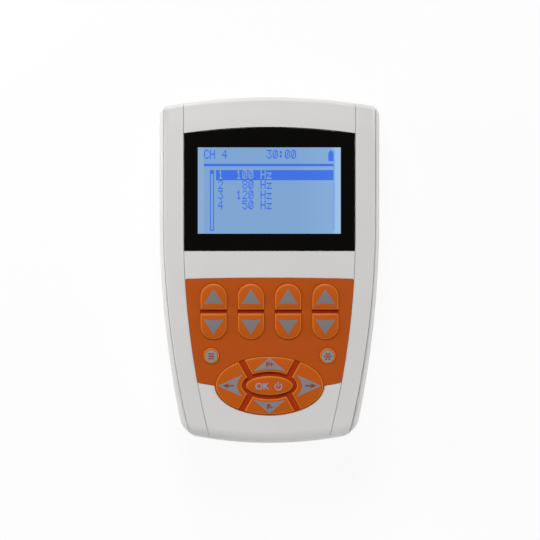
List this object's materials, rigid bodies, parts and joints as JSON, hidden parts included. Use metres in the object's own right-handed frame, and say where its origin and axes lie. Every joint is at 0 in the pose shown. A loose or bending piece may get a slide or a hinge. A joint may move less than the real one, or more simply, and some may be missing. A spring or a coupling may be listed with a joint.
{
  "type": "electrotherapy unit",
  "caption": "Handheld nerve and muscle stimulator with a lit display, an orange keypad with a navigation ring, lead sockets in the head end and a battery bay behind.",
  "frame": {"origin": "under the middle of the unit, on the plane of its rear face", "axes": "+X to the right across the unit as its display is read, +Y towards the head end with the sockets, +Z out of the display"},
  "size_m": [0.102, 0.16, 0.035],
  "materials": {
    "black_moulding": "glass-filled moulding",
    "black_print": "black screen print behind the window",
    "carbon_rubber": "conductive pill",
    "case_plastic": "fine spark-textured ABS",
    "cell_sleeve": "shrink sleeve",
    "circuit_board": "green solder mask",
    "diffuser": "white light guide",
    "ferrite": "ferrite core and bobbin",
    "foam": "black foam",
    "grey_silicone": "satin moulded silicone with a silver print",
    "lit_display": "lit blue display glass",
    "orange_silicone": "satin moulded silicone",
    "plated_pin": "plated",
    "plated_steel": "zinc plated",
    "rail_plastic": "fine spark-textured ABS",
    "sheet_steel": "pressed sheet",
    "window_acrylic": "clear polished acrylic"
  },
  "bodies": {
    "case": {"battery_cells": "cell_sleeve", "battery_contacts": "plated_steel", "buzzer": "black_moulding", "case_screws": "plated_steel", "charge_jack": "black_moulding", "charge_pin": "plated_pin", "display_gasket": "foam", "display_mask": "black_print", "display_window": "window_acrylic", "front_shell": "case_plastic", "key_board": "circuit_board", "key_board_link": "black_moulding", "keypad_mat": "orange_silicone", "lcd_backlight": "diffuser", "lcd_board": "circuit_board", "lcd_board_link": "black_moulding", "lcd_frame": "sheet_steel", "lcd_glass": "lit_display", "left_side_trim": "rail_plastic", "main_board": "circuit_board", "output_socket_1": "black_moulding", "output_socket_2": "black_moulding", "output_socket_3": "black_moulding", "output_socket_4": "black_moulding", "processor_chip": "black_moulding", "rear_shell": "case_plastic", "right_side_trim": "rail_plastic", "transformers": "ferrite"},
    "channel_1_down_button": {"channel_1_down_key": "orange_silicone", "channel_1_down_pill": "carbon_rubber"},
    "channel_1_up_button": {"channel_1_up_key": "orange_silicone", "channel_1_up_pill": "carbon_rubber"},
    "channel_2_down_button": {"channel_2_down_key": "orange_silicone", "channel_2_down_pill": "carbon_rubber"},
    "channel_2_up_button": {"channel_2_up_key": "orange_silicone", "channel_2_up_pill": "carbon_rubber"},
    "channel_3_down_button": {"channel_3_down_key": "orange_silicone", "channel_3_down_pill": "carbon_rubber"},
    "channel_3_up_button": {"channel_3_up_key": "orange_silicone", "channel_3_up_pill": "carbon_rubber"},
    "channel_4_down_button": {"channel_4_down_key": "orange_silicone", "channel_4_down_pill": "carbon_rubber"},
    "channel_4_up_button": {"channel_4_up_key": "orange_silicone", "channel_4_up_pill": "carbon_rubber"},
    "left_button": {"left_key": "orange_silicone", "left_pill": "carbon_rubber"},
    "list_button": {"list_key": "grey_silicone", "list_pill": "carbon_rubber"},
    "menu_button": {"menu_key": "grey_silicone", "menu_pill": "carbon_rubber"},
    "minus_button": {"minus_key": "orange_silicone", "minus_pill": "carbon_rubber"},
    "ok_button": {"ok_key": "orange_silicone", "ok_pill": "carbon_rubber"},
    "plus_button": {"plus_key": "orange_silicone", "plus_pill": "carbon_rubber"},
    "right_button": {"right_key": "orange_silicone", "right_pill": "carbon_rubber"},
    "battery_door": {"battery_door": "case_plastic"}
  },
  "joints": [
    {"name": "channel_1_down_press", "type": "slide", "parent": "case", "child": "channel_1_down_button", "axis": [0, 0, -1], "range_m": [0, 0.00095], "stiffness_N_per_m": 800},
    {"name": "channel_1_up_press", "type": "slide", "parent": "case", "child": "channel_1_up_button", "axis": [0, 0, -1], "range_m": [0, 0.00095], "stiffness_N_per_m": 800},
    {"name": "channel_2_down_press", "type": "slide", "parent": "case", "child": "channel_2_down_button", "axis": [0, 0, -1], "range_m": [0, 0.00095], "stiffness_N_per_m": 800},
    {"name": "channel_2_up_press", "type": "slide", "parent": "case", "child": "channel_2_up_button", "axis": [0, 0, -1], "range_m": [0, 0.00095], "stiffness_N_per_m": 800},
    {"name": "channel_3_down_press", "type": "slide", "parent": "case", "child": "channel_3_down_button", "axis": [0, 0, -1], "range_m": [0, 0.00095], "stiffness_N_per_m": 800},
    {"name": "channel_3_up_press", "type": "slide", "parent": "case", "child": "channel_3_up_button", "axis": [0, 0, -1], "range_m": [0, 0.00095], "stiffness_N_per_m": 800},
    {"name": "channel_4_down_press", "type": "slide", "parent": "case", "child": "channel_4_down_button", "axis": [0, 0, -1], "range_m": [0, 0.00095], "stiffness_N_per_m": 800},
    {"name": "channel_4_up_press", "type": "slide", "parent": "case", "child": "channel_4_up_button", "axis": [0, 0, -1], "range_m": [0, 0.00095], "stiffness_N_per_m": 800},
    {"name": "left_press", "type": "slide", "parent": "case", "child": "left_button", "axis": [0, 0, -1], "range_m": [0, 0.00095], "stiffness_N_per_m": 800},
    {"name": "list_press", "type": "slide", "parent": "case", "child": "list_button", "axis": [0, 0, -1], "range_m": [0, 0.00095], "stiffness_N_per_m": 800},
    {"name": "menu_press", "type": "slide", "parent": "case", "child": "menu_button", "axis": [0, 0, -1], "range_m": [0, 0.00095], "stiffness_N_per_m": 800},
    {"name": "minus_press", "type": "slide", "parent": "case", "child": "minus_button", "axis": [0, 0, -1], "range_m": [0, 0.00095], "stiffness_N_per_m": 800},
    {"name": "ok_press", "type": "slide", "parent": "case", "child": "ok_button", "axis": [0, 0, -1], "range_m": [0, 0.00095], "stiffness_N_per_m": 800},
    {"name": "plus_press", "type": "slide", "parent": "case", "child": "plus_button", "axis": [0, 0, -1], "range_m": [0, 0.00095], "stiffness_N_per_m": 800},
    {"name": "right_press", "type": "slide", "parent": "case", "child": "right_button", "axis": [0, 0, -1], "range_m": [0, 0.00095], "stiffness_N_per_m": 800},
    {"name": "battery_door_pivot", "type": "hinge", "parent": "case", "child": "battery_door", "pos_m": [0, 0.0253, 0.0003], "axis": [1, 0, 0], "range_deg": [0, 50]}
  ]
}
